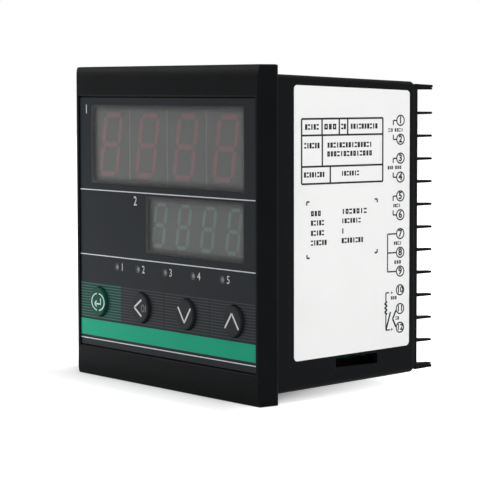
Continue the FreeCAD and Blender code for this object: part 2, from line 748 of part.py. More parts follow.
def bay_centres():
    """Height of each terminal bay, from the top down."""
    return [(FIN_COUNT / 2 - 1 - i) * FIN_PITCH for i in range(FIN_COUNT - 1)]


def lowered(shape):
    """Barrier cut down behind the tall tooth at its outer edge."""
    edge = BASE_FLANGE / 2 - TOOTH_DEPTH
    side = [(COLUMN_INNER - 1.0, FIN_LOW), (edge - TOOTH_SLOPE, FIN_LOW), (edge, FIN_TIP + 1.0),
            (COLUMN_INNER - 1.0, FIN_TIP + 1.0)]
    return shape.cut(prism([V(x, y, -BASE_FLANGE) for x, y in side], V(0, 0, 2 * BASE_FLANGE)))


def barrier(z, root, end):
    """Barrier between two bays: it narrows towards a round tip."""
    low = BASE_BACK - 0.5
    side = [(low, -root / 2), (FIN_TIP - 0.25, -end / 2), (FIN_TIP, 0.2 - end / 2), (FIN_TIP, end / 2 - 0.2),
            (FIN_TIP - 0.25, end / 2), (low, root / 2)]
    points = [V(COLUMN_INNER, y, z + dz) for y, dz in side]
    return lowered(prism(points, V(BASE_FLANGE / 2 - COLUMN_INNER, 0, 0)))


def end_barrier(sign):
    """Thicker barrier at the top or bottom, flush with the flange, with a notch along its rear edge."""
    outer = BASE_FLANGE / 2
    inner = outer - OUTER_FIN
    low = BASE_BACK - 0.5
    side = [(low, inner), (FIN_TIP - 0.2, inner), (FIN_TIP, inner + 0.15), (FIN_TIP, END_NOTCH - 0.15),
            (FIN_TIP - 0.4, END_NOTCH), (FIN_TIP + 0.2, END_NOTCH + 0.15), (FIN_TIP + 0.2, outer - 0.5),
            (FIN_TIP, outer - 0.3), (low, outer)]
    points = [V(COLUMN_INNER, y, sign * z) for y, z in side]
    return lowered(prism(points, V(outer - COLUMN_INNER, 0, 0)))


def terminal_column():
    """Barriers of the right-hand column, with the wall that closes the bays towards the middle."""
    shapes = [end_barrier(1), end_barrier(-1)]
    for i in range(1, FIN_COUNT - 1):
        shapes.append(barrier(((FIN_COUNT - 1) / 2 - i) * FIN_PITCH, FIN_ROOT, FIN_END))
    outer = BASE_FLANGE / 2
    shapes.append(box((COLUMN_INNER - 1.2, COLUMN_INNER + 0.2), (BASE_BACK - 0.5, FIN_LOW), (-outer, outer)))
    return shapes


def turned_round(shape):
    """Copy turned half a turn about the instrument's long axis."""
    copy = shape.copy()
    copy.rotate(V(0, 0, 0), V(0, 1, 0), 180)
    return copy


def make_terminal_base():
    """Plug, flange, barriers, wells and vents as one moulding."""
    plug = rounded_block(BASE_PLUG, BASE_PLUG, 0.8, (BASE_FRONT, CASE_LENGTH + 0.5))
    hollow = rounded_block(54.0, BASE_PLUG - 3.0, 1.0, (BASE_FRONT - 1, WELL_FLOOR))
    flange = rounded_block(BASE_FLANGE, BASE_FLANGE, 1.4, (CASE_LENGTH, BASE_BACK))
    shapes = [plug, flange] + terminal_column() + [turned_round(s) for s in terminal_column()]
    for x in HOOK_X:
        for sign in (1, -1):
            side = [(50.9, BASE_PLUG / 2 - 0.2), (50.9, BASE_PLUG / 2), (52.6, BASE_PLUG / 2 + 0.9),
                    (52.6, BASE_PLUG / 2 - 0.2)]
            shapes.append(prism([V(x - 3.0, y, sign * z) for y, z in side], V(6.0, 0, 0)))
    body = joined(shapes).cut(hollow)
    cuts = []
    for z in bay_centres():
        for sign in (1, -1):
            span = sorted((sign * WELL_INNER, sign * WELL_OUTER))
            cuts.append(box(span, (WELL_FLOOR, BASE_BACK + 0.2), (z - WELL_HEIGHT / 2, z + WELL_HEIGHT / 2)))
            slot = sorted((sign * WELL_INNER, sign * (SCREW_X + WELL_SLOT / 2)))
            cuts.append(box(slot, (BASE_FRONT - 1, WELL_FLOOR + 1), (z - WELL_SLOT / 2, z + WELL_SLOT / 2)))
    for i in range(7):
        z = (i - 3) * 8.0
        cuts.append(box((-18.0, 18.0), (BASE_FRONT - 1, BASE_BACK + 1), (z - 1.25, z + 1.25)))
    return body.cut(Part.makeCompound(cuts))


def make_contact(z):
    """Tapped contact plate in the well, with the leg that presses on the board's pad."""
    y = (WELL_FLOOR, WELL_FLOOR + CONTACT_THICK)
    plate = box((WELL_INNER + 0.05, WELL_OUTER - 0.3), y, (z - 2.8, z + 2.8))
    leg = box((WELL_INNER, WELL_INNER + CONTACT_THICK), (44.5, y[1]), (z - 1.5, z + 1.5))
    return joined([plate, leg]).cut(faceted_rod(SCREW_DIAMETER, (50, 60), SCREW_X, z, 6))


def make_clamp(z):
    """Clamp washer: a square plate with its inner and outer edges turned up."""
    y = WELL_FLOOR + CONTACT_THICK
    half = SCREW_HEAD / 2 + 0.75
    lip = half - 0.6
    side = [(-half, y), (half, y), (half, y + 1.5), (lip, y + 1.5), (lip, y + CLAMP_THICK),
            (-lip, y + CLAMP_THICK), (-lip, y + 1.5), (-half, y + 1.5)]
    plate = prism([V(SCREW_X + x, d, z - 2.8) for x, d in side], V(0, 0, 5.6))
    return plate.cut(faceted_rod(SCREW_DIAMETER + 0.2, (50, 60), SCREW_X, z, 6))


def make_terminal_screw(z):
    """Pan-head screw seated on its clamp washer, its shank through the tapped contact."""
    seat = WELL_FLOOR + CONTACT_THICK + CLAMP_THICK
    head = SCREW_HEAD / 2
    top = seat + SCREW_HEAD_HEIGHT
    pan = faceted([(head, seat), (head, top - SCREW_DOME), (head - SCREW_DOME, top)], SCREW_X, z, 8)
    shank = faceted_rod(SCREW_DIAMETER, (seat - SCREW_REACH, seat), SCREW_X, z, 6)
    return joined([pan, shank])


def make_terminals():
    builders = (("contacts", make_contact), ("clamp_washers", make_clamp), ("terminal_screws", make_terminal_screw))
    for name, build in builders:
        column = [build(z) for z in bay_centres()]
        parts[f"{name}_right"] = Part.makeCompound(column)
        parts[f"{name}_left"] = Part.makeCompound([turned_round(s) for s in column])


def make_all():
    parts["front_bezel"] = make_front_bezel()
    parts["overlay_film"] = make_overlay_film()
    parts["pv_window"] = make_window(PV_WINDOW, PV_CENTRE)
    parts["sv_window"] = make_window(SV_WINDOW, SV_CENTRE)
    make_displays()
    for name, x in zip(LAMP_NAMES, LAMP_X):
        parts[f"{name}_lamp"] = make_lamp(x)
    make_keys()
    parts["display_board"] = make_display_board()
    parts["board_screws"] = make_board_screws()
    parts["main_board"] = make_side_board(1)
    parts["power_board"] = make_side_board(-1)
    make_transformer()
    make_board_parts()
    parts["case"] = make_case()
    parts["side_label"] = make_side_label()
    parts["terminal_base"] = make_terminal_base()
    make_terminals()


os.makedirs("parts", exist_ok=True)
make_all()
for name, shape in parts.items():
    if not shape.isValid():
        print("not valid:", name)
    for solid in shape.Solids:
        if solid.Volume <= 0:
            print("empty solid:", name)
    shape.exportStep(f"parts/{name}.step")
print(len(parts), "parts")
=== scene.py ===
import json
import math

import bmesh
import bpy
from mathutils import Matrix, Vector

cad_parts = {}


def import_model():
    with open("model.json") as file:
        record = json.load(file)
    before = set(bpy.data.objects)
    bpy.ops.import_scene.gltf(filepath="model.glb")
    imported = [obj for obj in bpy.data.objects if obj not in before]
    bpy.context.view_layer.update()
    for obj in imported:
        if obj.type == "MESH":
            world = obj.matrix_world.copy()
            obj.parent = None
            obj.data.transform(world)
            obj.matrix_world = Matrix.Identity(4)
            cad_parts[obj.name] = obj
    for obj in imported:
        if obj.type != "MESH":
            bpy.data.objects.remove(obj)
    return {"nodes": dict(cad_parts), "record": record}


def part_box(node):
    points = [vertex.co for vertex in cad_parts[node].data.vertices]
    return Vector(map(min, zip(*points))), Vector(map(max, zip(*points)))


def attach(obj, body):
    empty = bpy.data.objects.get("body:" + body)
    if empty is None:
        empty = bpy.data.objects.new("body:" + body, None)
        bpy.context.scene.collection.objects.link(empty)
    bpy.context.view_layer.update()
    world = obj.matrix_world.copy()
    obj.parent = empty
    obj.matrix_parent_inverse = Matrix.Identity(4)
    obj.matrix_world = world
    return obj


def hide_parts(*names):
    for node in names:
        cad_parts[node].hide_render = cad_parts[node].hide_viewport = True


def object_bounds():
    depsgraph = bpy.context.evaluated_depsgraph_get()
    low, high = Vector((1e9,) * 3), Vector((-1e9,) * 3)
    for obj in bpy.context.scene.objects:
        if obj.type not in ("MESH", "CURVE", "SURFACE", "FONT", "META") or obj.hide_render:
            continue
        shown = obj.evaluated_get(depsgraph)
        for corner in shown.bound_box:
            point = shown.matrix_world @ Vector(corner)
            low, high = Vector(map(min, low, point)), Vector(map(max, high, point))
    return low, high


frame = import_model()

# Panel instrument on a white studio floor. Lengths are in metres: millimetres times MM.

MM = 0.001
cad_box = [list(corner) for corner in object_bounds()]
film_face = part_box("overlay_film")[0][1]
label_low, label_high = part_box("side_label")

# Camera
CAMERA_PLACE = (528.954 * MM, -363.370 * MM, 41.549 * MM)
CAMERA_YAW = math.radians(-53.984)
CAMERA_PITCH = math.radians(-4.048)
CAMERA_ROLL = math.radians(-0.117)
LENS = 161.70

# How far print stands off its surface, and its numerals' height as a share of their type size
PRINT_LIFT = 0.02 * MM
NUMERAL_SHARE = 0.7

# Printed front: heights of its lines and bands, edges of the key cells, places of its numbers
PRINT_LINES = (10.0 * MM, -10.25 * MM, -36.5 * MM)
LINE_WIDTH = 0.28 * MM
GREEN_BAND = (-35.5 * MM, -30.45 * MM)
STRIPE_FIELD = (-30.0 * MM, -18.9 * MM)
STRIPE_PITCH = 0.85 * MM
STRIPE_SHARE = (0.32, 0.68)
SEAM_WIDTH = 0.32 * MM
CELL_EDGES = (-23.4 * MM, 0.15 * MM, 23.65 * MM)
DISPLAY_NUMBERS = ((-42.5 * MM, 34.8 * MM), (-15.1 * MM, 7.3 * MM))
DISPLAY_NUMBER_HEIGHT = 2.8 * MM
LAMPS = ("at", "out1", "out2", "alm1", "alm2")
LAMP_WINDOW = 1.1 * MM
LAMP_NUMBER_OFFSET = 3.0 * MM
LAMP_NUMBER_HEIGHT = 2.3 * MM

# Arrows on the keys: tip and ends from each key's centre, in millimetres
ARROW_WIDTH = 0.62 * MM
ARROWS = {
    "shift": ((-2.9, 0.0), ((1.0, 2.5), (1.0, -2.5))),
    "down": ((0.0, -2.4), ((-3.2, 2.0), (3.2, 2.0))),
    "up": ((0.0, 2.3), ((-3.3, -2.1), (3.3, -2.1))),
}
SET_LINE = 0.5 * MM

# Windows over the digits, with the width of the painted shade at their rims, and the paint round the
# digits
SMOKE = (0.1, 0.1, 0.1)
RIM_SHADE = 1.9 * MM
DIGIT_PAINT = (0.25, 0.26, 0.26)
BARE_END = 0.2 * MM
DIGIT_SLANT = math.tan(math.radians(10.0))
# Middle of the first digit, pitch, half width and height of the lines that its bars follow, their widths
UPPER_DIGITS = ((-30.2 * MM, 24.2 * MM), 20.15 * MM, (4.5 * MM, 9.0 * MM), (2.2 * MM, 1.6 * MM))
LOWER_DIGITS = ((-3.75 * MM, 0.6 * MM), 12.6 * MM, (2.75 * MM, 6.2 * MM), (1.7 * MM, 1.25 * MM))

# Side label, measured along the case (u) and up it (v)
LABEL_THICK = 0.12 * MM
TABLE_SIDES = (10.0 * MM, 40.9 * MM)
TABLE_LINE = 0.54 * MM
CORNER_LINE = 0.48 * MM
LEAD_LINE = 0.42 * MM
# Numbers in rings down the right side; their leads start at RING_EDGE from the middle
TERMINALS = 12
NUMBER_COLUMN = 47.9 * MM
FIRST_NUMBER = 31.8 * MM
NUMBER_PITCH = 5.555 * MM
NUMBER_WEIGHT = 0.035
NUMBER_RING = 1.68 * MM
RING_LINE = 0.4 * MM
RING_EDGE = 1.5 * MM

# Label in millimetres: heights of the table's lines with the dividers below each, then the corner
# marks with the way that each points
TABLE_ROWS = ((32.6, (17.6, 24.1, 27.3)), (27.9, (17.7,)), (19.0, (20.7,)), (14.1, ()))
CORNER_MARKS = ((11.9, 9.0, 1, -1), (38.8, 9.0, -1, -1), (12.0, -7.1, 1, 1), (38.8, -6.7, -1, 1))
# Stand-ins for printed words: the shapes' order, then middle, width, height and how many shapes
MARKS = (1, 0, 2, 1, 3, 1, 2, 0, 1, 2, 3)
WORDS = (
    (13.8, 30.3, 5.3, 1.6, 5), (20.7, 30.3, 4.8, 1.6, 3), (25.7, 30.3, 2.0, 1.6, 2),
    (33.6, 30.3, 10.6, 1.5, 10), (13.8, 25.0, 5.9, 1.6, 6), (28.1, 25.0, 17.3, 1.5, 15),
    (28.1, 22.5, 17.3, 1.5, 14), (14.7, 16.7, 7.9, 1.5, 8), (28.3, 16.8, 6.9, 1.4, 7),
    (15.3, 5.6, 3.9, 1.5, 3), (29.9, 5.8, 9.8, 1.5, 7), (15.9, 2.9, 5.1, 1.5, 5),
    (28.7, 3.1, 7.5, 1.4, 7), (15.9, 0.0, 5.1, 1.5, 5), (25.5, 0.2, 1.1, 1.5, 1),
    (16.4, -2.8, 6.1, 1.5, 6), (29.2, -2.6, 8.5, 1.5, 8), (43.9, 29.0, 2.0, 1.0, 2),
    (47.2, 29.0, 3.5, 1.0, 4), (43.9, 18.0, 2.2, 1.0, 3), (47.0, 18.0, 2.6, 1.0, 3),
    (46.5, 6.8, 3.0, 1.0, 4), (46.9, -4.3, 3.2, 1.0, 4), (46.9, -9.9, 2.8, 1.0, 3),
    (45.4, -20.4, 2.4, 1.0, 3), (46.8, -26.5, 1.6, 1.0, 2),
)

# Terminal screws: head and its rounding, arms of the cross recess, and its depth doubled
HEAD_HEIGHT = 1.9 * MM
HEAD_ROUND = 0.75 * MM
RECESS = (3.2 * MM, 0.62 * MM, 1.9 * MM)

# Studio: where the floor's glow begins to turn it white at the right, and how it does so over its reach;
# the lower glow near the object paints how the shadow fades
UNDER_CASE = 26 * MM
SHADOW_REACH = 50 * MM
SHADOW_END = (
    (0.0, 0.0), (0.2, 0.06), (0.3, 0.15), (0.4, 0.2),
    (0.5, 0.35), (0.58, 0.5), (0.76, 0.72), (1.0, 1.0),
)
AMBIENT = 0.2
# Name, place, size and power of each lamp, and whether gloss shows it
SOFTBOXES = (
    ("overhead_softbox", (0.1, -0.2, 1.4), 1.2, 14.0, True),
    ("front_softbox", (-0.9, -0.58, 0.45), 0.36, 2.6, True),
    ("left_reflector", (-0.15, -0.07, -0.02), 0.05, 0.105, False),
    ("side_softbox", (1.3, -0.2, 0.5), 1.0, 10.5, True),
)


def clear_selection():
    for thing in bpy.context.selected_objects:
        thing.select_set(False)


# Shader building

class Value:
    """A number in a shader; arithmetic on it adds Math nodes."""

    def __init__(self, finish, socket):
        self.finish = finish
        self.socket = socket

    def joined(self, operation, *terms):
        return self.finish.value("ShaderNodeMath", {"operation": operation}, terms)

    def __add__(self, other):
        return self.joined("ADD", self, other)

    __radd__ = __add__

    def __sub__(self, other):
        return self.joined("SUBTRACT", self, other)

    def __rsub__(self, other):
        return self.joined("SUBTRACT", other, self)

    def __mul__(self, other):
        return self.joined("MULTIPLY", self, other)

    __rmul__ = __mul__

    def __truediv__(self, other):
        return self.joined("DIVIDE", self, other)

    def __gt__(self, other):
        return self.joined("GREATER_THAN", self, other)

    def __lt__(self, other):
        return self.joined("LESS_THAN", self, other)

    def fraction(self):
        return self.joined("FRACT", self)

    def size(self):
        return self.joined("ABSOLUTE", self)

    def larger(self, other):
        return self.joined("MAXIMUM", self, other)

    def smaller(self, other):
        return self.joined("MINIMUM", self, other)

    def between(self, low, high):
        return (self > low) * (self < high)


class Finish:
    """A material around one Principled shader; constants are set on the shader's own sockets."""

    def __init__(self, name, colour, roughness, **constants):
        self.material = bpy.data.materials.new(name)
        self.material.use_nodes = True
        self.tree = self.material.node_tree
        self.shader = self.tree.nodes["Principled BSDF"]
        self.shader.inputs["Base Color"].default_value = (*colour, 1)
        self.shader.inputs["Roughness"].default_value = roughness
        for socket, constant in constants.items():
            self.shader.inputs[socket.replace("_", " ")].default_value = constant
        self.place = None

    def node(self, kind, settings=None, inputs=None):
        """Add a node: its settings first, then the values or links of its sockets."""
        node = self.tree.nodes.new(kind)
        for name, setting in (settings or {}).items():
            if name == "stops":
                self.set_stops(node.color_ramp, setting)
            else:
                setattr(node, name, setting)
        pairs = inputs.items() if isinstance(inputs, dict) else enumerate(inputs or ())
        for name, given in pairs:
            if isinstance(given, Value):
                self.tree.links.new(given.socket, node.inputs[name])
            elif isinstance(given, bpy.types.NodeSocket):
                self.tree.links.new(given, node.inputs[name])
            else:
                node.inputs[name].default_value = given
        return node

    def set_stops(self, ramp, stops):
        while len(ramp.elements) < len(stops):
            ramp.elements.new(1.0)
        for element, (place, grey) in zip(ramp.elements, stops):
            element.position = place
            element.color = (grey, grey, grey, 1)

    def value(self, kind, settings=None, inputs=None, output=0):
        return Value(self, self.node(kind, settings, inputs).outputs[output])

    def object_place(self):
        if self.place is None:
            self.place = self.node("ShaderNodeTexCoord").outputs["Object"]
        return self.place

    def axes(self):
        """X, Y and Z of the shaded point, in metres."""
        split = self.node("ShaderNodeSeparateXYZ", None, {"Vector": self.object_place()})
        return [Value(self, output) for output in split.outputs]

    def noise(self, scale, detail=3.0, roughness=0.55):
        inputs = {"Vector": self.object_place(), "Scale": scale, "Detail": detail, "Roughness": roughness}
        return self.value("ShaderNodeTexNoise", None, inputs)

    def mixed(self, factor, first, second):
        """Colour that goes from first to second with the factor; both are colours or sockets."""
        node = self.node("ShaderNodeMix", {"data_type": "RGBA"}, {"Factor": factor})
        for socket, colour in zip((node.inputs[6], node.inputs[7]), (first, second)):
            if isinstance(colour, bpy.types.NodeSocket):
                self.tree.links.new(colour, socket)
            else:
                socket.default_value = (*colour, 1)
        return node.outputs[2]

    def ramp(self, factor, stops):
        return self.value("ShaderNodeValToRGB", {"stops": stops}, {"Fac": factor})

    def feed(self, socket, source):
        link = source.socket if isinstance(source, Value) else source
        self.tree.links.new(link, self.shader.inputs[socket])

    def bump(self, height, strength, distance, under=None):
        inputs = {"Height": height, "Strength": strength, "Distance": distance}
        if under is not None:
            inputs["Normal"] = under
        node = self.node("ShaderNodeBump", None, inputs)
        self.feed("Normal", node.outputs["Normal"])

    def soft_edges(self, radius):
        """Normal rounded over edges, and how far it turns there: 0 on flats, more on edges."""
        rounded = self.node("ShaderNodeBevel", {"samples": 4}, {"Radius": radius}).outputs["Normal"]
        true = self.node("ShaderNodeNewGeometry").outputs["Normal"]
        along = self.value("ShaderNodeVectorMath", {"operation": "DOT_PRODUCT"}, [rounded, true], "Value")
        return rounded, 1 - along


# Finishes

def lighter(colour, factor):
    return tuple(min(1.0, channel * factor) for channel in colour)


def moulded(name, colour, roughness, grain=0.35, grain_size=0.3, edge=0.25, level=0.04):
    """Moulded plastic: fine spark grain, faint cloudiness, and rounded edges with a painted highlight."""
    finish = Finish(name, colour, roughness, Specular_IOR_Level=level)
    fine = finish.noise(1 / (grain_size * MM), 2.0, 0.6)
    cloud = finish.ramp(finish.noise(90.0, 4.0), [(0.3, 0.0), (0.7, 1.0)])
    rounded, turn = finish.soft_edges(edge * MM)
    # Mask of the rounded edges, where the base colour is made lighter: a painted highlight.
    painted_edge_highlight = finish.ramp(turn, [(0.02, 0.0), (0.3, 1.0)])
    tone = finish.mixed(cloud, lighter(colour, 0.88), lighter(colour, 1.14))
    finish.feed("Base Color", finish.mixed(painted_edge_highlight * 0.35, tone, lighter(colour, 2.2)))
    finish.feed("Roughness", roughness + cloud * 0.06 - painted_edge_highlight * 0.1)
    finish.bump(fine, grain, 0.02 * MM, rounded)
    return finish.material


def plated(name, colour, roughness, brushed=0.0):
    """Plated or bare metal with a faint unevenness."""
    finish = Finish(name, colour, roughness, Metallic=1.0)
    cloud = finish.noise(400.0, 3.0)
    scratch = finish.noise(2500.0, 2.0, 0.7)
    rounded, turn = finish.soft_edges(0.1 * MM)
    finish.feed("Base Color", finish.mixed(cloud, lighter(colour, 0.8), lighter(colour, 1.08)))
    finish.feed("Roughness", roughness + scratch * 0.18)
    finish.bump(scratch, 0.15 + brushed, 0.01 * MM, rounded)
    return finish.material


def printed_film():
    """Dark film with green band, key stripes and white lines printed on it."""
    ground = (0.0128, 0.0154, 0.0181)
    finish = Finish("printed_film", ground, 0.34, Specular_IOR_Level=0.04)
    x, y, z = finish.axes()
    cloud = finish.noise(45.0, 3.0)
    colour = finish.mixed(cloud, lighter(ground, 0.85), lighter(ground, 1.2))

    field = z.between(*STRIPE_FIELD)
    green_cell = field * (x < CELL_EDGES[0])
    colour = finish.mixed(green_cell, colour, (0.0095, 0.034, 0.0275))
    phase = ((z - STRIPE_FIELD[0]) / STRIPE_PITCH).fraction()
    stripe = phase.between(*STRIPE_SHARE) * field
    colour = finish.mixed(stripe * (1 - green_cell) * 0.8, colour, (0.046, 0.05, 0.054))
    colour = finish.mixed(stripe * green_cell, colour, (0.036, 0.118, 0.098))
    for edge in CELL_EDGES[1:]:
        seam = (x - edge).size() < SEAM_WIDTH / 2
        colour = finish.mixed(seam * field * 0.7, colour, (0.004, 0.005, 0.006))

    band = z.between(*GREEN_BAND)
    colour = finish.mixed(band, colour, (0.009, 0.295, 0.17))
    for height in PRINT_LINES:
        line = (z - height).size() < LINE_WIDTH / 2
        colour = finish.mixed(line * 0.9, colour, (0.66, 0.68, 0.7))
    for name in LAMPS:
        low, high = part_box(f"{name}_lamp")
        right, up = x - (low[0] + high[0]) / 2, z - (low[2] + high[2]) / 2
        near = right * right + up * up < LAMP_WINDOW * LAMP_WINDOW
        colour = finish.mixed(near, colour, (0.12, 0.122, 0.122))
    finish.feed("Base Color", colour)
    grain = finish.noise(9000.0, 2.0)
    finish.feed("Roughness", 0.36 + cloud * 0.05)
    finish.bump(grain, 0.12, 0.01 * MM)
    return finish.material


def key_cap(name, colour):
    """Satin key cap: a fine grain and a painted highlight on its edges."""
    finish = Finish(name, colour, 0.36, Specular_IOR_Level=0.05)
    cloud = finish.noise(250.0, 3.0)
    rounded, turn = finish.soft_edges(0.25 * MM)
    # Mask of the rounded edges, where the base colour is made lighter: a painted highlight.
    painted_edge_highlight = finish.ramp(turn, [(0.02, 0.0), (0.4, 1.0)])
    tone = finish.mixed(cloud, lighter(colour, 0.85), lighter(colour, 1.2))
    finish.feed("Base Color", finish.mixed(painted_edge_highlight * 0.3, tone, lighter(colour, 2.0)))
    finish.feed("Roughness", 0.33 + cloud * 0.08)
    finish.bump(finish.noise(7000.0, 2.0), 0.15, 0.01 * MM, rounded)
    return finish.material


def smoked_window(name):
    """Smoked clear plate, a little milky, with painted shade of its recess making it darker towards its
    rim, with a soft sheen.
    """
    low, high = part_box(name)
    finish = Finish(name, SMOKE, 0.25, Specular_IOR_Level=0.08)
    x, y, z = finish.axes()
    haze = finish.noise(30.0, 3.0)
    # Darker and more opaque towards the rim: painted shade of the recess round the window.
    inner = 1
    for place, start, end in ((x, low[0], high[0]), (z, low[2], high[2])):
        off_centre = (place - (start + end) / 2).size()
        depth = ((end - start) / 2 - off_centre) / RIM_SHADE
        inner = inner * finish.ramp(depth, [(0.0, 0.25), (0.55, 0.8), (1.0, 1.0)])
    body = finish.mixed(haze, lighter(SMOKE, 0.9), lighter(SMOKE, 1.1))
    finish.feed("Base Color", finish.mixed(inner, lighter(SMOKE, 0.2), body))
    finish.feed("Alpha", 0.96 - inner * 0.7)
    finish.feed("Roughness", 0.2 + haze * 0.1)
    return finish.material


def digit_face(name):
    """Painted face round the segments, with a fine satin grain; its paint stops short of both ends."""
    low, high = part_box(name)
    finish = Finish(name, DIGIT_PAINT, 0.6, Specular_IOR_Level=0.3)
    x, y, z = finish.axes()
    cloud = finish.noise(120.0, 3.0)
    painted = finish.mixed(cloud, lighter(DIGIT_PAINT, 0.9), lighter(DIGIT_PAINT, 1.1))
    bare = 1 - x.between(low[0] + BARE_END, high[0] - BARE_END)
    finish.feed("Base Color", finish.mixed(bare, painted, (0.42, 0.42, 0.41)))
    finish.bump(finish.noise(5000.0, 2.0), 0.1, 0.01 * MM)
    return finish.material


def segment(name, colour, digits):
    """Unlit segments: cloudy resin, with a tint of the lit colour along the middle of each bar."""
    (first, middle), pitch, (half_width, half_height), (upright_line, level_line) = digits
    finish = Finish(name, colour, 0.35, Specular_IOR_Level=0.3)
    x, y, z = finish.axes()
    up = z - middle
    along = (x - first - up * DIGIT_SLANT) / pitch + 0.5
    across = ((along.fraction() - 0.5) * pitch).size()
    up = up.size()
    upright = (across - half_width).size().larger(up - half_height)
    level = up.smaller((up - half_height).size()).larger(across - half_width)
    away = (upright / upright_line).smaller(level / level_line)
    core = finish.ramp(away, [(0.3, 1.0), (0.6, 0.0)])
    cloud = finish.noise(700.0, 3.0)
    tint = finish.mixed(cloud, lighter(colour, 0.85), lighter(colour, 1.12))
    finish.feed("Base Color", finish.mixed(core, DIGIT_PAINT, tint))
    return finish.material


def lamp_lens():
    """Unlit indicator lamp: milky grey resin."""
    finish = Finish("lamp_lens", (0.2, 0.2, 0.197), 0.4, Specular_IOR_Level=0.1)
    cloud = finish.noise(1500.0, 3.0)
    finish.feed("Base Color", finish.mixed(cloud, (0.185, 0.185, 0.182), (0.215, 0.215, 0.212)))
    return finish.material


def label_stock():
    """White label with a faint tooth, a little grey where hands have been."""
    finish = Finish("label_stock", (0.84, 0.84, 0.835), 0.5, Specular_IOR_Level=0.3)
    handled = finish.ramp(finish.noise(35.0, 5.0), [(0.35, 0.0), (0.75, 1.0)])
    finish.feed("Base Color", finish.mixed(handled, (0.89, 0.89, 0.885), (0.85, 0.85, 0.845)))
    finish.bump(finish.noise(6000.0, 2.0), 0.1, 0.01 * MM)
    return finish.material


def ink(name, colour):
    """Printing ink: nearly even, with a little show-through."""
    finish = Finish(name, colour, 0.5, Specular_IOR_Level=0.3)
    thin = finish.noise(2500.0, 2.0)
    finish.feed("Base Color", finish.mixed(thin * 0.4, colour, lighter(colour, 0.75)))
    return finish.material


def circuit_board():
    """Green laminate with darker tracks under its lacquer."""
    finish = Finish("circuit_board", (0.012, 0.09, 0.035), 0.35, Specular_IOR_Level=0.5)
    x, y, z = finish.axes()
    lanes = ((z + y * 0.25 + x * 0.5) / (2.4 * MM)).fraction()
    track = lanes.between(0.2, 0.55) * (finish.noise(160.0, 1.0) > 0.48)
    finish.feed("Base Color", finish.mixed(track * 0.7, (0.012, 0.09, 0.035), (0.02, 0.16, 0.06)))
    finish.bump(track, 0.3, 0.03 * MM)
    return finish.material


def laminated_core():
    """Stacked core plates, with their edges as fine lines."""
    finish = Finish("core_steel", (0.2, 0.19, 0.18), 0.45, Metallic=0.8)
    x, y, z = finish.axes()
    gap = (x / (0.5 * MM)).fraction() < 0.25
    finish.feed("Base Color", finish.mixed(gap * 0.7, (0.24, 0.22, 0.21), (0.05, 0.045, 0.04)))
    finish.bump(1 - gap, 0.5, 0.05 * MM)
    return finish.material


def wound_copper():
    """Layers of enamelled wire under clear tape, with painted shade in the grooves between the turns."""
    finish = Finish("copper_wire", (0.4, 0.14, 0.04), 0.3, Metallic=0.6)
    x, y, z = finish.axes()
    turn = (y / (0.35 * MM)).fraction()
    # Darker towards the grooves between turns: painted shade.
    valley = (turn - 0.5).size() * 2
    finish.feed("Base Color", finish.mixed(valley, (0.5, 0.19, 0.06), (0.12, 0.035, 0.012)))
    finish.bump(1 - valley, 0.6, 0.1 * MM)
    return finish.material


FINISHES = {
    "frame_plastic": moulded("frame_plastic", (0.0042, 0.0046, 0.0052), 0.3, edge=0.3, level=0.022),
    "case_plastic": moulded("case_plastic", (0.0046, 0.005, 0.0057), 0.5, grain=0.5, edge=0.3),
    "base_plastic": moulded("base_plastic", (0.0046, 0.005, 0.0056), 0.45, edge=0.15),
    "printed_film": printed_film(),
    "label_stock": label_stock(),
    "red_segments": segment("red_segments", (0.46, 0.27, 0.275), UPPER_DIGITS),
    "green_segments": segment("green_segments", (0.28, 0.42, 0.365), LOWER_DIGITS),
    "circuit_board": circuit_board(),
    "zinc_steel": plated("zinc_steel", (0.62, 0.62, 0.6), 0.28),
    "core_steel": laminated_core(),
    "white_nylon": moulded("white_nylon", (0.7, 0.68, 0.6), 0.45, edge=0.1, level=0.5),
    "copper_wire": wound_copper(),
    "relay_housing": moulded("relay_housing", (0.02, 0.09, 0.32), 0.3, grain=0.15, edge=0.3, level=0.5),
    "capacitor_sleeve": moulded("capacitor_sleeve", (0.012, 0.012, 0.02), 0.25, grain=0.05, level=0.5),
    "bare_aluminium": plated("bare_aluminium", (0.75, 0.76, 0.77), 0.35, 0.2),
    "chip_resin": moulded("chip_resin", (0.012, 0.012, 0.012), 0.5, grain=0.4, grain_size=0.15, edge=0.1),
    "crystal_can": plated("crystal_can", (0.75, 0.75, 0.76), 0.2),
    "plated_brass": plated("plated_brass", (0.78, 0.66, 0.38), 0.3),
    "green_key": key_cap("green_key", (0.0045, 0.048, 0.034)),
    "dark_key": key_cap("dark_key", (0.012, 0.0135, 0.0155)),
    "lamp_lens": lamp_lens(),
    "switch_plastic": moulded("switch_plastic", (0.015, 0.015, 0.016), 0.4, edge=0.1),
}
INKS = {
    "white": ink("white_ink", (0.55, 0.57, 0.58)),
    "grey": ink("grey_ink", (0.1, 0.105, 0.11)),
    "mint": ink("mint_ink", (0.42, 0.66, 0.56)),
    "black": ink("black_ink", (0.004, 0.004, 0.005)),
}

FITTED = {"smoked_window": smoked_window, "digit_housing": digit_face}

for entry in frame["record"]["subparts"]:
    node = frame["nodes"][entry["node"]]
    slot = entry["material_slot"]
    node.data.materials.clear()
    node.data.materials.append(FITTED[slot](node.name) if slot in FITTED else FINISHES[slot])


# Flat print, drawn in one plane (u to the right, v up) and then laid on its surface

def start_sheet(name):
    """New flat piece, left open in edit mode with nothing in it."""
    clear_selection()
    bpy.ops.mesh.primitive_plane_add(size=MM)
    sheet = bpy.context.active_object
    sheet.name = name
    bpy.ops.object.mode_set(mode="EDIT")
    bpy.ops.mesh.select_all(action="SELECT")
    bpy.ops.mesh.delete(type="VERT")
    return sheet


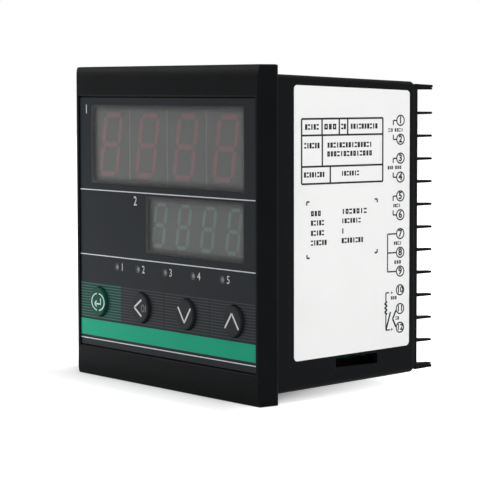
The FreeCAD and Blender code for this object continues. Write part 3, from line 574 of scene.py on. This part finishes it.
def bar(u, v, width, height, turn=0.0):
    """Rectangle centred at u, v; with no window, transform.rotate turns the other way."""
    bpy.ops.mesh.primitive_plane_add(size=1)
    bpy.ops.transform.resize(value=(width, height, 1), center_override=(0, 0, 0))
    bpy.ops.transform.rotate(value=-turn, orient_axis="Z", center_override=(0, 0, 0))
    bpy.ops.transform.translate(value=(u, v, 0))


def stroke(start, end, width):
    """Straight line between two points."""
    along = Vector(end) - Vector(start)
    middle = (Vector(start) + Vector(end)) / 2
    bar(middle.x, middle.y, along.length, width, math.atan2(along.y, along.x))


def ring(u, v, radius, thickness, tall=1.0, gap=0.0, sides=28):
    """Ring of a given line thickness; tall stretches it, gap opens it at the top and bottom."""
    bpy.ops.mesh.primitive_circle_add(vertices=sides, radius=radius, fill_type="NGON", location=(u, v, 0))
    bpy.ops.mesh.inset(thickness=thickness)
    bpy.ops.mesh.delete(type="FACE")
    sheet = bpy.context.active_object
    shape = bmesh.from_edit_mesh(sheet.data)
    centre = Vector((u, v, 0))
    for vertex in shape.verts:
        if (vertex.co - centre).length < radius * 1.01:
            vertex.co.y = v + (vertex.co.y - v) * tall
    bpy.ops.mesh.select_all(action="DESELECT")
    for face in shape.faces:
        middle = face.calc_center_median() - centre
        if abs(middle.x) < gap / 2 and middle.length < radius * 1.2:
            face.select_set(True)
    bmesh.update_edit_mesh(sheet.data)
    if gap:
        bpy.ops.mesh.delete(type="FACE")


def mark(kind, u, v, width, height):
    """One plain shape of a word: upright bar, frame, two level bars or whole block."""
    line = 0.3 * height
    if kind == 0:
        bar(u, v, line, height)
    elif kind == 3:
        bar(u, v, width * 0.8, height)
    else:
        for side in (-0.5, 0.5):
            bar(u, v + side * (height - line), width, line)
            if kind == 1:
                bar(u + side * (width - line), v, line, height)


def word(u, v, width, height, letters):
    """Stand-in for a printed word: a row of plain shapes that spells nothing."""
    pitch = width / letters
    for i in range(letters):
        kind = MARKS[(i + letters) % len(MARKS)]
        mark(kind, u + (i - (letters - 1) / 2) * pitch, v, pitch * 0.8, height)


def numeral(text, u, v, height, weight=0.0):
    """Plain number as a flat mesh object; weight thickens its strokes, as a share of its size."""
    clear_selection()
    bpy.ops.object.text_add(location=(u, v, 0))
    figure = bpy.context.active_object
    figure.data.body = text
    figure.data.size = height / NUMERAL_SHARE
    figure.data.offset = weight * figure.data.size
    figure.data.align_x = "CENTER"
    figure.data.align_y = "CENTER"
    figure.data.resolution_u = 3
    bpy.ops.object.convert(target="MESH")
    clear_selection()
    figure.select_set(True)
    bpy.context.view_layer.objects.active = figure
    bpy.ops.object.transform_apply(location=True, rotation=True, scale=True)
    return figure


def lay(sheet, across, up, origin, ink_name, body):
    """Close a sheet, lay it on its surface and give it its ink."""
    if bpy.context.mode != "OBJECT":
        bpy.ops.object.mode_set(mode="OBJECT")
    across, up = Vector(across), Vector(up)
    out = across.cross(up).normalized()
    turn = Matrix((across, up, out)).transposed().to_4x4()
    sheet.data.transform(Matrix.Translation(Vector(origin) + out * PRINT_LIFT) @ turn)
    sheet.data.materials.clear()
    sheet.data.materials.append(INKS[ink_name])
    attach(sheet, body)
    return sheet


def on_film(sheet, ink_name, body="housing", face=None):
    """Lay a sheet drawn as (x, z) on the film, or on another face that is square to Y."""
    depth = film_face if face is None else face
    return lay(sheet, (1, 0, 0), (0, 0, 1), (0, depth, 0), ink_name, body)


# Front print

def one_piece(pieces, name):
    """Join mesh objects into one."""
    clear_selection()
    for piece in pieces:
        piece.select_set(True)
    bpy.context.view_layer.objects.active = pieces[0]
    bpy.ops.object.join()
    whole = bpy.context.active_object
    whole.name = name
    return whole


def front_numbers():
    """Plain numbers beside the displays and the lamps."""
    figures = []
    for i, (u, v) in enumerate(DISPLAY_NUMBERS):
        figures.append(numeral(str(i + 1), u, v, DISPLAY_NUMBER_HEIGHT))
    for i, lamp in enumerate(LAMPS):
        low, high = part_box(f"{lamp}_lamp")
        u = (low[0] + high[0]) / 2 + LAMP_NUMBER_OFFSET
        figures.append(numeral(str(i + 1), u, (low[2] + high[2]) / 2, LAMP_NUMBER_HEIGHT))
    on_film(one_piece(figures, "front_numbers"), "white")


def key_box(name):
    """Middle of a key, and how far out its face is."""
    low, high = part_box(f"{name}_key")
    return (low[0] + high[0]) / 2, (low[2] + high[2]) / 2, low[1]


def chevron(name, tip, ends):
    """Arrow on a key: two strokes that meet at the tip."""
    u, v, face = key_box(name)
    sheet = start_sheet(f"{name}_arrow")
    point = (u + tip[0] * MM, v + tip[1] * MM)
    for end in ends:
        stroke(point, (u + end[0] * MM, v + end[1] * MM), ARROW_WIDTH)
    return sheet, face


def key_arrows():
    """Arrows that ride on three of the keys."""
    for name, (tip, ends) in ARROWS.items():
        sheet, face = chevron(name, tip, ends)
        on_film(sheet, "white", f"{name}_button", face)


def shift_marks():
    """Plain ring and bar beside the sideways arrow."""
    u, v, face = key_box("shift")
    sheet = start_sheet("shift_marks")
    ring(u + 1.7 * MM, v, 0.9 * MM, 0.3 * MM, 1.3)
    bar(u + 3.2 * MM, v, 0.5 * MM, 1.9 * MM)
    on_film(sheet, "grey", "shift_button", face)


def set_mark():
    """Return arrow in a ring that is open at its top and bottom."""
    u, v, face = key_box("set")
    u += 0.3 * MM
    sheet = start_sheet("set_mark")
    ring(u, v, 3.8 * MM, SET_LINE, 0.74, 1.2 * MM, 40)
    right, shaft = u + 1.5 * MM, v - 0.6 * MM
    stroke((right, v + 1.2 * MM), (right, shaft - SET_LINE / 2), SET_LINE)
    stroke((right, shaft), (u - 1.7 * MM, shaft), SET_LINE)
    for side in (1, -1):
        stroke((u - 1.9 * MM, shaft), (u - 0.8 * MM, shaft + side * 0.9 * MM), SET_LINE)
    on_film(sheet, "mint", "set_button", face)


# Label print

def on_label(sheet, ink_name="black"):
    """Lay a sheet drawn as (depth, height) on the label, which leans with the case's draft."""
    run = label_high[1] - label_low[1]
    lean = (label_high[0] - label_low[0] - LABEL_THICK) / run
    origin = (label_high[0] + lean * label_low[1], 0, 0)
    return lay(sheet, (-lean, 1, 0), (0, 0, 1), origin, ink_name, "housing")


def table():
    """Ruled table, with dividers between its rows."""
    left, right = TABLE_SIDES
    heights = [v * MM for v, dividers in TABLE_ROWS]
    for height in heights:
        stroke((left, height), (right, height), TABLE_LINE)
    for (v, dividers), top, bottom in zip(TABLE_ROWS, heights, heights[1:]):
        for u in [u * MM for u in dividers] + [left, right]:
            stroke((u, top), (u, bottom), TABLE_LINE)


def circuit_lines(heights):
    """Leads from the ringed numbers to the symbols beside them."""
    edge = NUMBER_COLUMN - RING_EDGE
    reach = NUMBER_COLUMN - 2.85 * MM
    inward = 1.4 * MM
    for first, last in ((0, 1), (2, 3), (4, 5)):
        for i in (first, last):
            stroke((edge, heights[i]), (reach, heights[i]), LEAD_LINE)
        stroke((reach, heights[first]), (reach, heights[first] - inward), LEAD_LINE)
        stroke((reach, heights[last]), (reach, heights[last] + inward), LEAD_LINE)
    joint = NUMBER_COLUMN - 5.0 * MM
    for i in (6, 7, 8):
        stroke((edge, heights[i]), (joint, heights[i]), LEAD_LINE)
    stroke((joint, heights[6]), (joint, heights[8]), LEAD_LINE)


def zigzag(u, v, half_width, step, turns):
    """Resistor drawn downwards from u, v."""
    for i in range(turns):
        side = half_width if i % 2 else -half_width
        stroke((u - side, v - i * step), (u + side, v - (i + 1) * step), LEAD_LINE * 1.3)


def sensor_lines(heights):
    """Zigzag resistor and two crossed leads beside the last three numbers."""
    left = NUMBER_COLUMN - 5.6 * MM
    top, middle, low = heights[9], heights[10], heights[11]
    start, foot = top - 0.6 * MM, low - 0.5 * MM
    stroke((left, start), (left + 1.2 * MM, start), LEAD_LINE)
    stroke((left, start), (left, top - 3.2 * MM), LEAD_LINE)
    zigzag(left, top - 3.2 * MM, 0.5 * MM, 0.62 * MM, 6)
    stroke((left, top - 6.9 * MM), (left, foot), LEAD_LINE)
    stroke((left, foot), (left + 1.6 * MM, foot), LEAD_LINE)
    thick = LEAD_LINE * 1.4
    stroke((left + 0.1 * MM, low - 0.3 * MM), (left + 1.8 * MM, middle - 0.8 * MM), thick)
    edge = NUMBER_COLUMN - 1.6 * MM
    bend = (NUMBER_COLUMN - 2.9 * MM, middle - 2.9 * MM)
    stroke((edge, middle - 0.4 * MM), bend, thick)
    stroke(bend, (edge, low + 0.2 * MM), thick)
    for v in (top - 0.7 * MM, low - 0.4 * MM):
        bar(left + 2.3 * MM, v, 0.9 * MM, 0.22 * MM)
        bar(left + 2.3 * MM, v, 0.22 * MM, 0.9 * MM)


def corner_marks():
    """Corners round the lower group of words."""
    for u, v, du, dv in CORNER_MARKS:
        corner = (u * MM, v * MM)
        stroke(corner, ((u + du) * MM, v * MM), CORNER_LINE)
        stroke(corner, (u * MM, (v + dv) * MM), CORNER_LINE)


def label_print():
    """Table, words, marks, rings and leads in one piece, and the numbers in another."""
    sheet = start_sheet("label_lines")
    table()
    for u, v, width, height, letters in WORDS:
        word(u * MM, v * MM, width * MM, height * MM, letters)
    corner_marks()
    heights = [FIRST_NUMBER - NUMBER_PITCH * i for i in range(TERMINALS)]
    for v in heights:
        ring(NUMBER_COLUMN, v, NUMBER_RING, RING_LINE, sides=24)
    circuit_lines(heights)
    sensor_lines(heights)
    on_label(sheet)
    figures = []
    for i, v in enumerate(heights):
        height = (2.0 if i < 9 else 1.75) * MM
        figures.append(numeral(str(i + 1), NUMBER_COLUMN, v, height, NUMBER_WEIGHT))
    on_label(one_piece(figures, "label_numbers"))


# Terminal screws with cross recesses

def screw_pattern():
    """One pan-head screw along Z, its head's seat at the origin."""
    low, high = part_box("terminal_screws_right")
    radius = (high[0] - low[0]) / 2
    middle = (0, 0, HEAD_HEIGHT / 2)
    clear_selection()
    bpy.ops.mesh.primitive_cylinder_add(vertices=32, radius=radius, depth=HEAD_HEIGHT, location=middle)
    screw = bpy.context.active_object
    bpy.ops.object.mode_set(mode="EDIT")
    shape = bmesh.from_edit_mesh(screw.data)
    bpy.ops.mesh.select_all(action="DESELECT")
    for face in shape.faces:
        if face.normal.z > 0.9:
            face.select_set(True)
    bmesh.update_edit_mesh(screw.data)
    bpy.ops.mesh.bevel(offset=HEAD_ROUND, segments=4, affect="EDGES")
    bpy.ops.object.mode_set(mode="OBJECT")
    for turn in (0.0, math.pi / 2):
        clear_selection()
        bpy.ops.mesh.primitive_cube_add(size=1, location=(0, 0, HEAD_HEIGHT), rotation=(0, 0, turn))
        blade = bpy.context.active_object
        blade.scale = RECESS
        bpy.context.view_layer.objects.active = screw
        cut = screw.modifiers.new("recess", "BOOLEAN")
        cut.object = blade
        cut.operation = "DIFFERENCE"
        cut.solver = "EXACT"
        bpy.ops.object.modifier_apply(modifier="recess")
        bpy.data.objects.remove(blade)
    return screw


def terminal_screws():
    """Twelve screws a side, each turned a little further than the one above it."""
    pattern = screw_pattern()
    for side in ("right", "left"):
        low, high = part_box(f"terminal_screws_{side}")
        head_half = (high[0] - low[0]) / 2
        x = (low[0] + high[0]) / 2
        seat = high[1] - HEAD_HEIGHT
        first, last = high[2] - head_half, low[2] + head_half
        facing = Matrix.Rotation(math.radians(-90), 4, "X")
        copies = []
        for i in range(TERMINALS):
            z = first + (last - first) * i / (TERMINALS - 1)
            copy = pattern.copy()
            copy.data = pattern.data.copy()
            bpy.context.collection.objects.link(copy)
            turn = Matrix.Rotation(math.radians(37 * i + (11 if side == "left" else 0)), 4, "Z")
            copy.data.transform(Matrix.Translation((x, seat, z)) @ facing @ turn)
            copies.append(copy)
        screws = one_piece(copies, f"screw_heads_{side}")
        bpy.ops.object.shade_smooth_by_angle(angle=math.radians(40))
        screws.data.materials.clear()
        screws.data.materials.append(FINISHES["zinc_steel"])
        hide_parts(f"terminal_screws_{side}")
        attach(screws, "housing")
    bpy.data.objects.remove(pattern)


front_numbers()
key_arrows()
shift_marks()
set_mark()
label_print()
terminal_screws()


# Studio

def floor_finish():
    """White floor: the camera, gloss and glass see it glow white, with less glow near the object, so the
    real shadow there keeps a painted fading edge.
    """
    finish = Finish("studio_floor", (0.8, 0.8, 0.8), 0.9, Specular_IOR_Level=0.0, Emission_Strength=1.0)
    path = finish.node("ShaderNodeLightPath")
    seen = Value(finish, path.outputs["Is Camera Ray"])
    for name in ("Is Glossy Ray", "Is Transmission Ray"):
        seen = seen.larger(Value(finish, path.outputs[name]))
    x, y, z = finish.axes()
    beside = (x + y * 0.6 - UNDER_CASE).larger(cad_box[0][0] - x)
    beyond = (y - (cad_box[0][1] + cad_box[1][1]) / 2).size() - (cad_box[1][1] - cad_box[0][1]) / 2
    # Glow lower near the object: painted fall-off of the shadow round it.
    glow = finish.ramp(beside.larger(beyond) / SHADOW_REACH + 0.2, SHADOW_END)
    finish.feed("Emission Color", finish.mixed(seen * glow, (0, 0, 0), (1, 1, 1)))
    return finish.material


def floor():
    clear_selection()
    bpy.ops.mesh.primitive_plane_add(size=6.0, location=(0, 0, cad_box[0][2]))
    ground = bpy.context.active_object
    ground.name = "studio_floor"
    ground.data.materials.append(floor_finish())


def world():
    sky = bpy.data.worlds.new("studio")
    bpy.context.scene.world = sky
    sky.use_nodes = True
    nodes, links = sky.node_tree.nodes, sky.node_tree.links
    light = nodes["Background"]
    light.inputs["Color"].default_value = (1, 1, 1, 1)
    light.inputs["Strength"].default_value = AMBIENT
    white = nodes.new("ShaderNodeBackground")
    white.inputs["Color"].default_value = (1, 1, 1, 1)
    path = nodes.new("ShaderNodeLightPath")
    seen = path.outputs["Is Camera Ray"]
    for name in ("Is Glossy Ray", "Is Transmission Ray"):
        either = nodes.new("ShaderNodeMath")
        either.operation = "MAXIMUM"
        links.new(seen, either.inputs[0])
        links.new(path.outputs[name], either.inputs[1])
        seen = either.outputs[0]
    mix = nodes.new("ShaderNodeMixShader")
    links.new(seen, mix.inputs["Fac"])
    links.new(light.outputs[0], mix.inputs[1])
    links.new(white.outputs[0], mix.inputs[2])
    links.new(mix.outputs[0], nodes["World Output"].inputs["Surface"])


def softboxes():
    for name, place, size, power, in_gloss in SOFTBOXES:
        clear_selection()
        bpy.ops.object.light_add(type="AREA", location=place)
        lamp = bpy.context.active_object
        lamp.name = name
        lamp.data.size = size
        lamp.data.energy = power
        lamp.visible_camera = False
        lamp.visible_glossy = in_gloss
        lamp.rotation_euler = (-Vector(place)).to_track_quat("-Z", "Y").to_euler()


def camera():
    heading = Vector((math.sin(CAMERA_YAW), math.cos(CAMERA_YAW), 0))
    forward = heading * math.cos(CAMERA_PITCH) + Vector((0, 0, math.sin(CAMERA_PITCH)))
    level = Vector((heading.y, -heading.x, 0))
    above = level.cross(forward)
    across = math.cos(CAMERA_ROLL) * level + math.sin(CAMERA_ROLL) * above
    up = across.cross(forward)
    lens = bpy.data.cameras.new("photo_camera")
    lens.lens = LENS
    lens.sensor_width = 36.0
    lens.clip_start = 0.01
    view = bpy.data.objects.new("photo_camera", lens)
    turn = Matrix((across, up, -forward)).transposed().to_4x4()
    view.matrix_world = Matrix.Translation(CAMERA_PLACE) @ turn
    bpy.context.collection.objects.link(view)
    bpy.context.scene.camera = view


floor()
world()
softboxes()
camera()
bpy.context.scene.view_settings.view_transform = "Standard"
